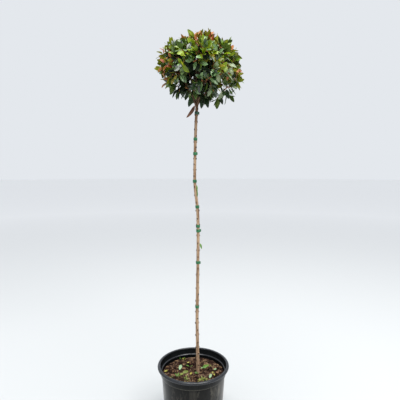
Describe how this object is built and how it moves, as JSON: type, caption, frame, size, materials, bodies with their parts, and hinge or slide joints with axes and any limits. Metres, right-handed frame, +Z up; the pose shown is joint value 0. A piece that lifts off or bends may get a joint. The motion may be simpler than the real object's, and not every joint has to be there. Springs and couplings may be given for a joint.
{
  "type": "potted lollipop topiary shrub",
  "caption": "Clipped ball of small glossy leaves on one slender bare stem, standing in a round black plastic nursery pot filled with soil.",
  "frame": {"origin": "centre of the pot's flat underside", "axes": "+Z up along the stem, +X to the right and -Y to the front"},
  "size_m": [0.3047, 0.2874, 1.3593],
  "materials": {
    "pot_plastic": "satin",
    "soil": "matte",
    "bark": "matte",
    "young_bark": "matte",
    "tape": "satin",
    "foliage": "satin"
  },
  "bodies": {
    "root": {"pot": "pot_plastic", "soil": "soil", "trunk": "bark", "tie_1": "tape", "tie_2": "tape", "tie_3": "tape", "tie_4": "tape", "tie_5": "tape", "tie_6": "tape", "tie_7": "tape", "tie_8": "tape", "tie_9": "tape", "bough_top": "young_bark", "leaves_top": "foliage", "bough_upper_front": "young_bark", "leaves_upper_front": "foliage", "bough_upper_right": "young_bark", "leaves_upper_right": "foliage", "bough_upper_back_right": "young_bark", "leaves_upper_back_right": "foliage", "bough_upper_back_left": "young_bark", "leaves_upper_back_left": "foliage", "bough_upper_left": "young_bark", "leaves_upper_left": "foliage", "bough_lower_front_right": "young_bark", "leaves_lower_front_right": "foliage", "bough_lower_right": "young_bark", "leaves_lower_right": "foliage", "bough_lower_back": "young_bark", "leaves_lower_back": "foliage", "bough_lower_left": "young_bark", "leaves_lower_left": "foliage", "bough_lower_front_left": "young_bark", "leaves_lower_front_left": "foliage"}
  },
  "joints": []
}
